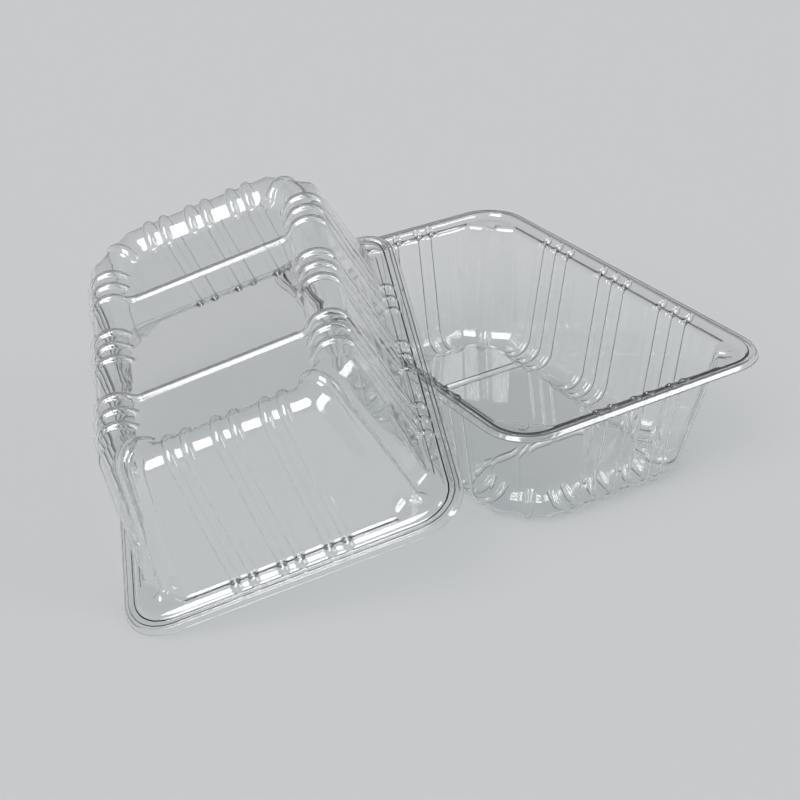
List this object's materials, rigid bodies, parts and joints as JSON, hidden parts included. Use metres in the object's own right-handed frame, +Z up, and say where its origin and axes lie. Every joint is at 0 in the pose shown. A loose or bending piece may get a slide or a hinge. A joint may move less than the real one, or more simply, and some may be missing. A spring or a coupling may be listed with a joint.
{
  "type": "clear plastic produce pack",
  "caption": "Open clear plastic tray with ribbed sides, with its matching lift-off lid leaning on the rim; thin thermoformed shells with flanged rims.",
  "frame": {"origin": "on the table, under the middle of the box round both pieces", "axes": "+Z up from the table; +Y along the tray's long side; +X from the leaning lid towards the tray"},
  "size_m": [0.2825, 0.2292, 0.1252],
  "materials": {
    "tray_sheet": "clear, glossy",
    "lid_sheet": "clear, glossy"
  },
  "bodies": {
    "root": {"tray": "tray_sheet", "lid": "lid_sheet"}
  },
  "joints": []
}
